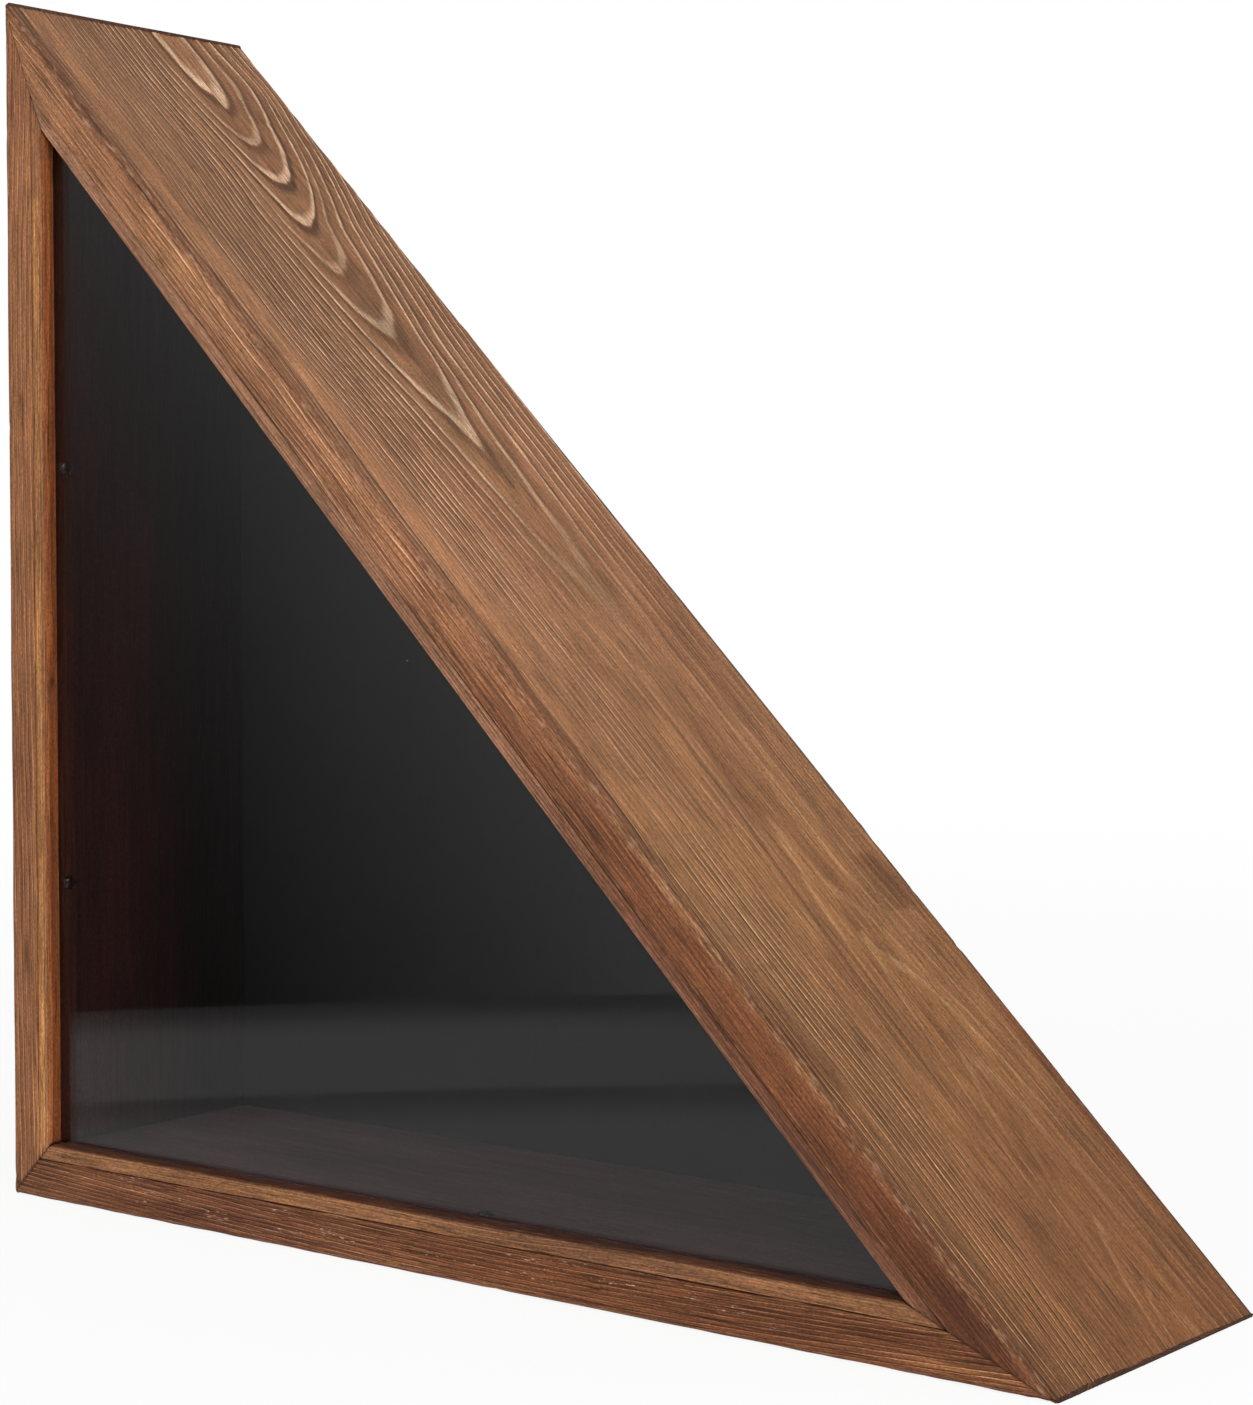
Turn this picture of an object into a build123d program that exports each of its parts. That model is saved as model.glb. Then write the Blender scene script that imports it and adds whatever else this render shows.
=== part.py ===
"""Triangular display case for a folded flag, in mm.

X runs along the bottom plank, Y from the glazed front (-Y) to the back (+Y), Z up.
The origin is the middle of the underside that the case stands on.
"""

import os
from math import cos, radians, sin, sqrt

from build123d import *

os.makedirs("parts", exist_ok=True)

# overall size
leg_length = 300.0
case_depth = 83.0

# planks
plank_thickness = 10.2
plank_front_radius = 2.0
plank_rear_radius = 1.0
joint_chamfer = 0.35

# strips that stop the glass at the front, and spacers that line the planks behind it
strip_thickness = 4.1
stop_depth = 4.0
stop_bevel = 0.6
stop_edge_radius = 0.7
spacer_gap = 0.1
spacer_rear = 69.0

# pane
glass_thickness = 2.0
glass_gap = 0.8
tip_cut = 3.0

# the back, which rests against the spacers
felt_thickness = 1.0
pad_thickness = 5.0
panel_thickness = 7.7
panel_gap = 0.5

# black tacks that hold the spacers
tack_head_radius = 2.0
tack_head_height = 1.1
tack_shank_radius = 0.7
tack_shank_length = 9.0
tack_depth = 8.2

# turn buttons and their screws
button_length = 20.0
button_pivot_radius = 4.2
button_tip_radius = 3.2
button_thickness = 1.2
button_hole_radius = 1.6
button_rim = 0.25
screw_shank_radius = 1.54
screw_length = 13.0
screw_head_radius = 3.0
screw_head_height = 1.7
screw_slot_width = 0.7
screw_slot_depth = 0.8
button_lift = 0.05
head_lift = 0.05

# corner fasteners
brad_radius = 0.6
brad_length = 16.0
brad_inset = 0.3
brad_depths = (22.0, 60.0)
brad_height_sharp_corner = 20.0
v_nail_wing = 4.2
v_nail_thickness = 0.6
v_nail_depth = 8.0
v_nail_offset_square_corner = 6.5
v_nail_offset_sharp_corner = 15.0

front_y = -case_depth / 2
back_y = case_depth / 2
lip_width = plank_thickness + strip_thickness

square_corner = Vector(-leg_length / 2, front_y, 0)
top_corner = Vector(-leg_length / 2, front_y, leg_length)
right_corner = Vector(leg_length / 2, front_y, 0)
to_back = Vector(0, 1, 0)

# each side: where its outer front edge starts and ends, the way into the case,
# and the angles of the case's corners at its two ends
sides = {
    "left": (square_corner, top_corner, Vector(1, 0, 0), 90, 45),
    "long": (top_corner, right_corner, Vector(-1, 0, -1).normalized(), 45, 45),
    "bottom": (right_corner, square_corner, Vector(0, 0, 1), 45, 90),
}

# how far along its side each tack and each turn button sits
tack_positions = {"left": (79.0, 183.0), "long": (140.0, 285.0), "bottom": (148.0,)}
button_positions = {"left": (72.0, 182.0), "long": (115.0, 285.0), "bottom": (98.0, 212.0)}
button_names = {
    "left": ("left_lower", "left_upper"),
    "long": ("long_upper", "long_lower"),
    "bottom": ("bottom_right", "bottom_left"),
}


def direction(side):
    """The way that a side runs."""
    start, end, _, _, _ = sides[side]
    return (end - start).normalized()


def along(side, distance, inward=0.0, depth=0.0):
    """A point on a side, from its start along it, into the case, and back from the front."""
    start, _, inner, _, _ = sides[side]
    return start + direction(side) * distance + inner * inward + to_back * depth


def inset_corners(inset):
    """The case's three corners in X and Z, each moved in by the same distance from both faces."""
    far = leg_length - inset * (1 + sqrt(2))
    corners = [(inset, inset), (inset, far), (far, inset)]
    return [(x - leg_length / 2, z) for x, z in corners]


def triangle_sheet(inset, near_depth, thickness):
    """A flat triangular sheet with its sharp tips cut off, by its depth from the front."""
    far_y = front_y + near_depth + thickness
    with BuildPart() as sheet:
        with BuildSketch(Plane(origin=(0, far_y, 0), x_dir=(1, 0, 0), z_dir=(0, -1, 0))) as outline:
            with BuildLine():
                Polyline(*inset_corners(inset), close=True)
            make_face()
            chamfer(outline.vertices(), tip_cut)
        extrude(amount=thickness)
    return sheet.part


def rounded_section(side, points, rounded):
    """A closed section across a side, as (inward, depth) points, with some corners rounded."""
    start, _, inner, _, _ = sides[side]
    with BuildSketch(Plane(origin=start, x_dir=inner, z_dir=direction(side))) as section:
        with BuildLine():
            Polyline(*points, close=True)
        make_face()
        for point, radius in rounded:
            fillet(section.vertices().sort_by_distance(point)[0], radius)
    return section.sketch


def mitred_strip(side, section, fasteners=()):
    """A section run along a side, mitred at both ends, with a hole for each fastener."""
    start, end, inner, start_angle, end_angle = sides[side]
    way = direction(side)
    with BuildPart() as strip:
        extrude(section, amount=(end - start).length)
        for corner, angle, inside in ((start, start_angle, way), (end, end_angle, way * -1)):
            half = radians(angle / 2)
            cut = inside * sin(half) - inner * cos(half)
            split(bisect_by=Plane(origin=corner, z_dir=cut), keep=Keep.TOP)
        for fastener in fasteners:
            add(fastener.part, mode=Mode.SUBTRACT)
    return strip.part


def domed_tack(seat, axis, across):
    """A tack with a domed head: seat is the point under its head, axis the way out of the wood."""
    with BuildSketch(Plane(origin=seat, x_dir=across, z_dir=across.cross(axis))) as half:
        with BuildLine():
            Polyline(
                (tack_head_radius, 0),
                (tack_shank_radius, 0),
                (tack_shank_radius, 1.2 - tack_shank_length),
                (0, -tack_shank_length),
                (0, tack_head_height),
            )
            ThreePointArc(
                (0, tack_head_height),
                (tack_head_radius * 0.7, tack_head_height * 0.72),
                (tack_head_radius, 0),
            )
        make_face()
    revolve(half.sketch, axis=Axis(seat, axis))


def v_nail(corner, bisector, side_way, distance):
    """A bent steel fastener across a mitre, driven in from the back."""
    apex = corner + bisector * distance + to_back * case_depth
    for turn in (-60, 60):
        wing = bisector * cos(radians(turn)) + side_way * sin(radians(turn))
        with BuildSketch(Plane(origin=apex, x_dir=wing, z_dir=to_back)) as outline:
            Rectangle(v_nail_wing, v_nail_thickness, align=(Align.MIN, Align.CENTER))
        extrude(outline.sketch, amount=-v_nail_depth)


# glass pane
glass = triangle_sheet(plank_thickness + glass_gap, stop_depth, glass_thickness)
glass.label = "glass_pane"
export_step(glass, "parts/glass_pane.step")

# the back: felt, the pad that it is stuck to, and the panel, each behind the one before
sheet_depth = spacer_rear
for name, thickness in (
    ("felt_lining", felt_thickness),
    ("backing_pad", pad_thickness),
    ("back_panel", panel_thickness),
):
    sheet = triangle_sheet(plank_thickness + panel_gap, sheet_depth, thickness)
    sheet.label = name
    export_step(sheet, f"parts/{name}.step")
    sheet_depth += thickness

# tacks through the spacers into the planks, just behind the glass
with BuildPart() as spacer_tacks:
    for side, positions in tack_positions.items():
        for position in positions:
            seat = along(side, position, lip_width, tack_depth)
            domed_tack(seat, sides[side][2], direction(side))
spacer_tacks.part.label = "spacer_tacks"
export_step(spacer_tacks.part, "parts/spacer_tacks.step")

# pivot screws of the turn buttons
head_seat = case_depth + button_lift + button_thickness + head_lift
with BuildPart() as turn_button_screws:
    for side, positions in button_positions.items():
        for position in positions:
            seat = along(side, position, plank_thickness / 2, head_seat)
            head_plane = Plane(origin=seat, x_dir=direction(side), z_dir=to_back)
            with BuildSketch(head_plane):
                Circle(screw_shank_radius)
            extrude(amount=-screw_length)
            with BuildSketch(head_plane):
                Circle(screw_head_radius)
            extrude(amount=screw_head_height, taper=18)
            with BuildSketch(head_plane.offset(screw_head_height)):
                Rectangle(2 * screw_head_radius, screw_slot_width)
            extrude(amount=-screw_slot_depth, mode=Mode.SUBTRACT)
turn_button_screws.part.label = "turn_button_screws"
export_step(turn_button_screws.part, "parts/turn_button_screws.step")

# turn buttons, each turned open along its plank
for side, positions in button_positions.items():
    for name, position in zip(button_names[side], positions):
        pivot = along(side, position, plank_thickness / 2, case_depth + button_lift)
        with BuildPart() as button:
            with BuildSketch(Plane(origin=pivot, x_dir=direction(side), z_dir=to_back)):
                Circle(button_pivot_radius)
                with Locations((button_length - button_tip_radius, 0)):
                    Circle(button_tip_radius)
                make_hull()
                Circle(button_hole_radius, mode=Mode.SUBTRACT)
            extrude(amount=button_thickness)
            chamfer(button.faces().sort_by(Axis.Y)[-1].outer_wire().edges(), button_rim)
        button.part.label = f"turn_button_{name}"
        export_step(button.part, f"parts/turn_button_{name}.step")

# bent steel fasteners across the three mitres
sharp_half = radians(22.5)
square_bisector = Vector(1, 0, 1).normalized()
top_bisector = Vector(sin(sharp_half), 0, -cos(sharp_half))
right_bisector = Vector(-cos(sharp_half), 0, sin(sharp_half))
with BuildPart() as corner_v_nails:
    for corner, bisector, distance in (
        (square_corner, square_bisector, v_nail_offset_square_corner),
        (top_corner, top_bisector, v_nail_offset_sharp_corner),
        (right_corner, right_bisector, v_nail_offset_sharp_corner),
    ):
        v_nail(corner, bisector, bisector.cross(to_back), distance)
corner_v_nails.part.label = "corner_v_nails"
export_step(corner_v_nails.part, "parts/corner_v_nails.step")

# thin nails through the left and bottom planks' outer faces into the mitred ends
with BuildPart() as mitre_brads:
    for depth in brad_depths:
        for start, way in (
            (along("left", plank_thickness / 2, 0, depth), Vector(1, 0, 0)),
            (along("left", leg_length - brad_height_sharp_corner, 0, depth), Vector(1, 0, 0)),
            (along("bottom", brad_height_sharp_corner, 0, depth), Vector(0, 0, 1)),
        ):
            with BuildSketch(Plane(origin=start + way * brad_inset, z_dir=way)):
                Circle(brad_radius)
            extrude(amount=brad_length)
mitre_brads.part.label = "mitre_brads"
export_step(mitre_brads.part, "parts/mitre_brads.step")

# planks, front stops and spacers
plank_points = [
    (0, 0),
    (plank_thickness - joint_chamfer, 0),
    (plank_thickness, joint_chamfer),
    (plank_thickness, case_depth),
    (0, case_depth),
]
plank_rounding = [((0, 0), plank_front_radius), ((0, case_depth), plank_rear_radius)]
stop_points = [
    (plank_thickness, joint_chamfer),
    (plank_thickness + joint_chamfer, 0.1),
    (lip_width, stop_bevel),
    (lip_width, stop_depth),
    (plank_thickness, stop_depth),
]
stop_rounding = [((lip_width, stop_bevel), stop_edge_radius)]
spacer_front = stop_depth + glass_thickness + spacer_gap
spacer_points = [
    (plank_thickness, spacer_front),
    (lip_width, spacer_front),
    (lip_width, spacer_rear),
    (plank_thickness, spacer_rear),
]
plank_fasteners = (spacer_tacks, turn_button_screws, corner_v_nails, mitre_brads)
for side in sides:
    for name, points, rounding, fasteners in (
        ("plank", plank_points, plank_rounding, plank_fasteners),
        ("front_stop", stop_points, stop_rounding, ()),
        ("spacer", spacer_points, (), (spacer_tacks,)),
    ):
        strip = mitred_strip(side, rounded_section(side, points, rounding), fasteners)
        strip.label = f"{side}_{name}"
        export_step(strip, f"parts/{side}_{name}.step")
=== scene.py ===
import math

import bpy
import numpy as np
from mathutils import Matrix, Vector


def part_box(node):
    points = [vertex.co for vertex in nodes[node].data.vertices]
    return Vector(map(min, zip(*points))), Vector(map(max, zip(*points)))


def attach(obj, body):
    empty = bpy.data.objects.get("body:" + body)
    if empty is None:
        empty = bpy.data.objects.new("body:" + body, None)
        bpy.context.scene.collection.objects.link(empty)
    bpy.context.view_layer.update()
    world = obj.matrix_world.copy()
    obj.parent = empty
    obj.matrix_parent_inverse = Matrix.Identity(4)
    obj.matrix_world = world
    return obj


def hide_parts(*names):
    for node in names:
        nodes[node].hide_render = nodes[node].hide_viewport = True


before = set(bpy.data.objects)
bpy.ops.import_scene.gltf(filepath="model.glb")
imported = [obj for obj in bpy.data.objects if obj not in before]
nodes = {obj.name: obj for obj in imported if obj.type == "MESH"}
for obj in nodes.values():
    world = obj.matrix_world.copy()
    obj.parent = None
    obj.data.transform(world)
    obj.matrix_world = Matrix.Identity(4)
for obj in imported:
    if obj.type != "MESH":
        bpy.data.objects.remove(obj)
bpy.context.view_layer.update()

MM = 0.001
COT_SHARP = 1 / math.tan(math.radians(22.5))
ROOT_HALF = math.sqrt(0.5)

# sizes in mm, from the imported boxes
plank_low, plank_high = (np.array(corner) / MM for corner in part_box("left_plank"))
stop_high = np.array(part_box("left_front_stop")[1]) / MM
spacer_low, spacer_high = (np.array(corner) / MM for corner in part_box("left_spacer"))
FRONT = plank_low[1]
DEPTH = plank_high[1] - plank_low[1]
LEG = plank_high[2] - plank_low[2]
HALF = LEG / 2
PLANK = plank_high[0] - plank_low[0]
LIP = stop_high[0] - plank_low[0]
STOP_BACK = stop_high[1] - FRONT
SPACER_FRONT = spacer_low[1] - FRONT
SPACER_BACK = spacer_high[1] - FRONT

# each side: start, way along, way in, cotangents of its half corner angles, length
SIDES = {
    "left": ((-HALF, 0), (0, 1), (1, 0), 1.0, COT_SHARP, LEG),
    "long": (
        (-HALF, LEG),
        (ROOT_HALF, -ROOT_HALF),
        (-ROOT_HALF, -ROOT_HALF),
        COT_SHARP,
        COT_SHARP,
        LEG / ROOT_HALF,
    ),
    "bottom": ((HALF, 0), (-1, 0), (0, 1), COT_SHARP, 1.0, LEG),
}


# ---------------------------------------------------------------- random fields

HASH_X, HASH_Y, HASH_Z, HASH_SEED, HASH_MIX = 374761393, 668265263, 1442695041, 974634777, 1274126177
BITS = 0xFFFFFFFF


def lattice(points, seed):
    """A smooth random field from -1 to 1, with one lump to a unit, at rows of x, y, z."""
    cell = np.floor(points).astype(np.int64)
    part = points - cell
    part = part * part * (3 - 2 * part)
    total = np.zeros(len(points))
    for corner in range(8):
        offset = np.array([corner & 1, corner >> 1 & 1, corner >> 2 & 1])
        x, y, z = (cell + offset).T
        h = (x * HASH_X + y * HASH_Y + z * HASH_Z + seed * HASH_SEED) & BITS
        h = ((h ^ (h >> 13)) * HASH_MIX) & BITS
        h = h ^ (h >> 16)
        weight = np.prod(np.where(offset, part, 1 - part), axis=1)
        total += (h / BITS * 2 - 1) * weight
    return total


def field(s, u, y, scales, seed, octaves=1):
    """The same with a lump size in mm for each direction, and finer octaves on top."""
    points = np.stack([s / scales[0], u / scales[1], y / scales[2]], axis=1) + seed * 17.31
    total, size = 0.0, 1.0
    for octave in range(octaves):
        total = total + size * lattice(points * 2**octave, seed + octave)
        size *= 0.5
    return total


def hump(v, middle, wide):
    """1 in the middle and falling away on both sides."""
    return np.exp(-(((v - middle) / wide) ** 2))


def bump_at(s, v, s0, v0, long, wide):
    """1 at a place on a face and falling away round it."""
    return np.exp(-(((s - s0) / long) ** 2) - ((v - v0) / wide) ** 2)


def ramp(x, low, high):
    """0 below low, 1 above high, and smooth between them."""
    t = np.clip((x - low) / (high - low), 0, 1)
    return t * t * (3 - 2 * t)


def smooth_table(places, values, blur):
    """A function that follows a table, with its corners blurred over so many mm."""
    step = 0.5
    x = np.arange(places[0] - 4 * blur, places[-1] + 4 * blur, step)
    v = np.interp(x, places, values)
    k = np.exp(-0.5 * (np.arange(-3 * blur, 3 * blur + step / 2, step) / blur) ** 2)
    pad = len(k) // 2
    v = np.convolve(np.pad(v, pad, mode="edge"), k / k.sum(), mode="valid")
    return lambda q: np.interp(q, x, v[: len(x)])


# ---------------------------------------------------------------- how each board's grain runs
# s runs along a board, u into the case and y back from the front, all in mm. A grain gives
# the ring number, the tint of the stain (which on some stops and spacers also holds painted
# light and shade), and how strong the rings and the chips are. The long side is 424 mm long,
# the others 300 mm.


def tinted(s, *washes, brushed=0.0):
    """Each wash is an amount and a colour. The fourth value says how hard the face is brushed."""
    tint = np.ones((len(s), 4))
    for amount, colour in washes:
        tint[:, :3] *= 1 + amount[:, None] * (np.array(colour) - 1)
    tint[:, 3] = brushed
    return tint


# how far back from the front the middle of the rings lies, along the long plank
heart_line = smooth_table(
    (0, 30, 60, 76, 96, 119, 151, 205, 300, 353, 424),
    (54.8, 55.2, 54.5, 52, 50.7, 49.6, 51, 51.5, 52, 55.5, 56.5),
    6.0,
)
# how much of the rings the face has cut away in front of and behind that line, in mm squared:
# a ring's arch has its tip where this passes the ring's own value in the lists below
cut_in_front = smooth_table(
    (0, 10, 20, 30, 45, 59, 76, 96, 119, 151, 205, 240, 258, 290, 320, 347, 380, 400, 430),
    (0, 1, 12, 34, 90, 144, 202, 272, 342, 420, 506, 530, 525, 498, 415, 350, 242, 186, 60),
    3.0,
)
cut_behind = smooth_table(
    (0, 20, 30, 40, 45, 59, 76, 96, 119, 151, 205, 240, 300, 353, 430),
    (0, 12, 36, 88, 112, 240, 385, 450, 560, 695, 770, 790, 790, 560, 430),
    3.0,
)
# the rings that follow the photo's arches, then more of them in even steps: of the distance in
# front of the line, of its square behind
RINGS_IN_FRONT = [-60, 20, 90, 144, 202, 272, 342, 420, 506, 586, 666, 756, 841, 930, 1024]
RINGS_IN_FRONT += [(33.5 + 1.55 * k) ** 2 for k in range(22)]
RINGS_BEHIND = [-60, 36, 112, 240, 385, 450, 560, 695, 775, 918, 1049, 1190, 1321, 1465]
RINGS_BEHIND += [1465 + 165 * k for k in range(1, 22)]
HEART_DROP = 24  # how far outside the plank the middle of the rings lies

# how far back from the front the painted crease shade runs
crease_line = smooth_table(
    (0, 40, 75, 100, 145, 165, 200, 222, 240, 290, 330, 424),
    (4.4, 2.8, 1.9, 2.8, 5.2, 4.8, 4.5, 5.0, 4.1, 3.4, 2.6, 2.2),
    5.0,
)


def long_plank_rings(s, u, y, across):
    """Nested arches on the upper face, and straight rings round the front edge."""
    deeper = 2 * HEART_DROP * u + u * u
    in_front = across**2 + cut_in_front(s) + deeper
    behind = across**2 + cut_behind(s) + deeper
    dip = 90 * hump(s, 20, 12.0)
    behind = behind - dip * ramp(behind, 10, 330)
    ring_in_front = np.interp(in_front, RINGS_IN_FRONT, np.arange(len(RINGS_IN_FRONT)) - 1.0)
    ring_behind = np.interp(behind, RINGS_BEHIND, np.arange(len(RINGS_BEHIND)) - 1.0)
    ring = np.where(across < 0, ring_in_front, ring_behind)
    at_edge = 40 + (u - y) / (1.55 - 0.25 * ramp(u, 3, 8)) + 0.45 * field(s, u, y, (22, 7, 7), 9, 2)
    at_edge += 1.6 * hump(s, 60, 45) * (1 - ramp(u, 0, 3)) + 0.8 * np.sin(s / 70)
    at_front = 1 - ramp(y, 6, 9.5)
    return ring * (1 - at_front) + at_edge * at_front + 0.10 * field(s, u, y, (40, 6, 6), 7)


def long_plank_strength(s, y, fuzz, low_front):
    """How strongly the rings show: less in front of the arches, past them and where it is fuzzy."""
    strength = 0.95 - 0.45 * (1 - ramp(y, 24, 32)) * (1 - ramp(s, 60, 105))
    strength *= 1 - 0.6 * ramp(s, 145, 205) * ramp(y, 26, 31)
    strength *= 1 - 0.55 * ramp(s, 190, 215) * (1 - ramp(s, 270, 300) * (1 - ramp(y, 19, 24)))
    strength *= 1 - 0.35 * fuzz
    strength *= 1 - 0.85 * hump(y, 8.5, 2.6) * (1 - ramp(s, 280, 310))
    strength *= 1 - 0.45 * (1 - ramp(y, 0.5, 5))
    return strength * (1 - 0.7 * low_front)


def painted_crease_washes(s, u, y, outer):
    """Painted shade in a crease close to the front of the upper face, a painted highlight on its lit
    side, and painted shade in a fainter twin.
    """
    off_crease = y - crease_line(s) + 0.22 * field(s, u, y, (9, 9, 9), 15)
    fitful = np.clip(0.65 + 0.8 * field(s, u, y, (24, 3, 3), 16), 0.1, 1)
    # painted shade in the crease, a painted highlight beside it, and fainter painted shade in front of
    # it
    crease = hump(off_crease, 0, 0.42) * outer * fitful
    lit_side = hump(off_crease, 0.85, 0.5) * outer * fitful
    twin = hump(off_crease, -1.7, 0.36) * outer * (1 - fitful * 0.8)
    return (
        (crease, (0.32, 0.25, 0.22)),
        (lit_side, (1.22, 1.24, 1.22)),
        (twin, (0.48, 0.40, 0.36)),
    )


def front_washes(s, u, front, streak):
    """The plank's front face: pale near the top, darker and redder lower down."""
    return (
        (front * (1 - ramp(s, 60, 170)), (1.20, 1.18, 1.15)),
        (front * hump(s, 175, 80) * (1 - ramp(u, 4.5, 8)), (1.22, 1.20, 1.18)),
        (front * ramp(s, 150, 300), (0.66, 0.51, 0.46)),
        (front * bump_at(s, u, 394, 5, 16, 3.5), (0.62, 0.55, 0.52)),
        (
            front * ramp(u, 4.5, 7) * ramp(s, 60, 110) * (1 - ramp(s, 250, 280)) * streak,
            (0.80, 0.72, 0.68),
        ),
    )


def face_washes(s, y, ring, patch, core):
    """The upper face: the band behind the crease, dark rings, stained patches and the arches' core."""
    dark_pair = hump(ring, 8.25, 0.22) + 0.6 * hump(ring, 7.45, 0.16)
    dark_pair *= ramp(s, 238, 262) * (1 - ramp(s, 345, 375)) * (y < 52)
    dark_low = hump(y, 72.5 - 0.03 * (s - 230), 0.55)
    dark_low *= ramp(s, 190, 240) * (1 - ramp(s, 290, 320))
    pale_band = hump(y, 9.0 - 2.0 * ramp(s, 30, 90), 2.8) * (1 - 0.7 * ramp(s, 200, 400))
    rear_stain = ramp(s, 292, 295) * (1 - ramp(s, 309, 311)) * hump(y, 75.5, 5)
    return (
        (pale_band, (1.27, 1.27, 1.25)),
        (patch, (0.80, 0.86, 0.86)),
        (dark_pair, (0.66, 0.62, 0.60)),
        (dark_low, (0.66, 0.62, 0.60)),
        (rear_stain, (0.62, 0.56, 0.52)),
        (bump_at(s, y, 340, 4.5, 26, 3.4), (0.70, 0.60, 0.54)),
        (bump_at(s, y, 300, 57, 18, 3), (0.80, 0.75, 0.70)),
        (bump_at(s, y, 366, 55, 20, 5), (0.80, 0.78, 0.76)),
        (bump_at(s, y, 330, 50, 60, 5), (1.10, 1.10, 1.04)),
        (core, (1.20, 1.22, 1.25)),
    )


def long_plank_grain(s, u, y):
    """Arches on the upper face, straight rings and brush marks on the front."""
    across = y - heart_line(s) + 0.35 * field(s, u, y, (26, 12, 12), 3)
    ring = long_plank_rings(s, u, y, across)
    outer = 1 - ramp(u, 0.5, 1.5)
    front = ramp(u, 0.6, 2.2) * (1 - ramp(y, 0.6, 2.0))
    low_front = front * ramp(s, 265, 315) * (1 - ramp(u, 8, 9.5))
    fuzz = ramp(s, 84, 105) * (1 - ramp(s, 215, 260)) * hump(y, 52, 10)
    strength = long_plank_strength(s, y, fuzz, low_front)
    patch = np.clip(fuzz * (0.55 + 0.9 * field(s, u, y, (14, 3.5, 3.5), 13, 2)), 0, 1)
    streak = np.clip(0.5 + 0.9 * field(s, u, y + 0.05 * s, (70, 1.8, 1.8), 11), 0, 1)
    core = (1 - ramp(across**2 + cut_in_front(s) * 0.6, 14, 26)) * (s < 26)
    # painted shade on the rounded back edge of the upper face, where it turns away from the light
    back_edge_shade = outer * ramp(y, DEPTH - 1.7, DEPTH - 1.0)
    back_band = outer * ramp(y, DEPTH - 6, DEPTH - 3) * hump(s, 352, 34)
    front_edge = (1 - ramp(y, 2.0, 7.5)) * (1 - 0.75 * ramp(u, 0.5, 2.5)) * (0.2 + 0.8 * streak)
    brushed = front * ramp(u, 2, 6) * ramp(s, 40, 80) * (1 - 0.75 * low_front)
    tint = tinted(
        s,
        (1 - ramp(s, 60, 190), (0.93, 0.91, 0.88)),
        (hump(s, 190, 55), (1.12, 1.08, 1.05)),
        (ramp(s, 190, 330), (1.00, 0.96, 0.76)),
        (ramp(s, 300, 420), (0.79, 0.70, 0.63)),
        *painted_crease_washes(s, u, y, outer),
        (back_edge_shade * ramp(s, 90, 160), (0.42, 0.36, 0.34)),
        (back_band * (1 - back_edge_shade), (0.62, 0.48, 0.42)),
        (front_edge, (0.66, 0.57, 0.53)),
        *front_washes(s, u, front, streak),
        *face_washes(s, y, ring, patch, core),
        brushed=brushed + 0.35 * outer * (1 - ramp(y, 5, 9)),
    )
    return ring, tint, np.clip(strength, 0, 1), 0 * s


def left_plank_grain(s, u, y):
    """Even rings, a pale crest by the front stop, and three small dark spots."""
    from_heart = np.sqrt((y - 38 + 3 * np.sin(s / 60)) ** 2 + (58 + u + 5 * np.sin(s / 95)) ** 2)
    ring = from_heart / 1.45 + 0.25 * field(s, u, y, (50, 5, 5), 21)
    crest = np.clip(0.55 + 0.9 * field(s, u, y, (26, 3, 3), 23), 0, 1)
    tint = tinted(
        s,
        (ramp(u, 7.5, 10) * crest, (1.30, 1.34, 1.20)),
        (bump_at(s, u, 3.4, 1.9, 0.9, 0.8), (0.12, 0.10, 0.10)),
        (ramp(s, 230, 280), (1.02, 1.03, 1.14)),
        (bump_at(s, u, 60, 5.8, 5, 1.3), (0.55, 0.5, 0.48)),
        (bump_at(s, u, 200, 5.5, 1.6, 0.8), (0.45, 0.4, 0.4)),
        brushed=0.55,
    )
    return ring, tint, 0.75 + 0 * s, 0 * s


def bottom_plank_grain(s, u, y):
    """Close rings under a streaky dark stain, with chips along most of the front face."""
    from_heart = np.sqrt((y - 30) ** 2 + (75 + u + 4 * np.sin(s / 80)) ** 2)
    ring = from_heart + 0.3 * field(s, u, y, (60, 4, 4), 31)
    chips = ramp(s, 50, 90) * (1 - ramp(s, 250, 275)) * ramp(u, 2.5, 5) * (1 - ramp(y, 1, 3))
    band = np.clip(0.45 + 1.1 * field(s, u, y, (60, 3.2, 12), 35) + 0.5 * (ramp(u, 3, 6) - 0.5), 0, 1)
    tint = tinted(
        s,
        (bump_at(s, u, 235, 3, 30, 3), (1.1, 1.1, 1.12)),
        (band, (0.80, 0.70, 0.62)),
        (1 - band, (1.42, 1.46, 1.36)),
        (1 - ramp(s, 120, 210), (1.38, 1.46, 1.30)),
        brushed=0.9,
    )
    return ring, tint, 0.8 + 0 * s, chips


def strip_grain(washes, spacing, seed, lean=0.0):
    """A front stop's grain: rings so many mm apart, which may bend round one place."""

    def grain(s, u, y):
        bend = lean * hump(s, 115, 40) * (s - 115) / 40
        ring = (u - PLANK + bend) / spacing + y / 6 + 0.3 * field(s, u, y, (45, 3, 3), seed)
        return ring, tinted(s, *washes(s, u, y), brushed=0.5), 0.7 + 0 * s, 0 * s

    return grain


def left_stop_washes(s, u, y):
    """A pale crest, a redder wall by the pane, and a small knot in it."""
    crest = np.clip(0.5 + 1.0 * field(s, u, y, (30, 4, 4), 43), 0, 1)
    wall = ramp(u, 13.45, 13.95)
    return (
        (crest * (s < 250) * hump(u, 11.8, 1.3), (2.0, 2.1, 1.7)),
        (wall, (0.98, 0.64, 0.38)),
        (bump_at(s, y, 129.5, 2.2, 1.5, 0.8) * wall, (0.15, 0.1, 0.1)),
    )


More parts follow.
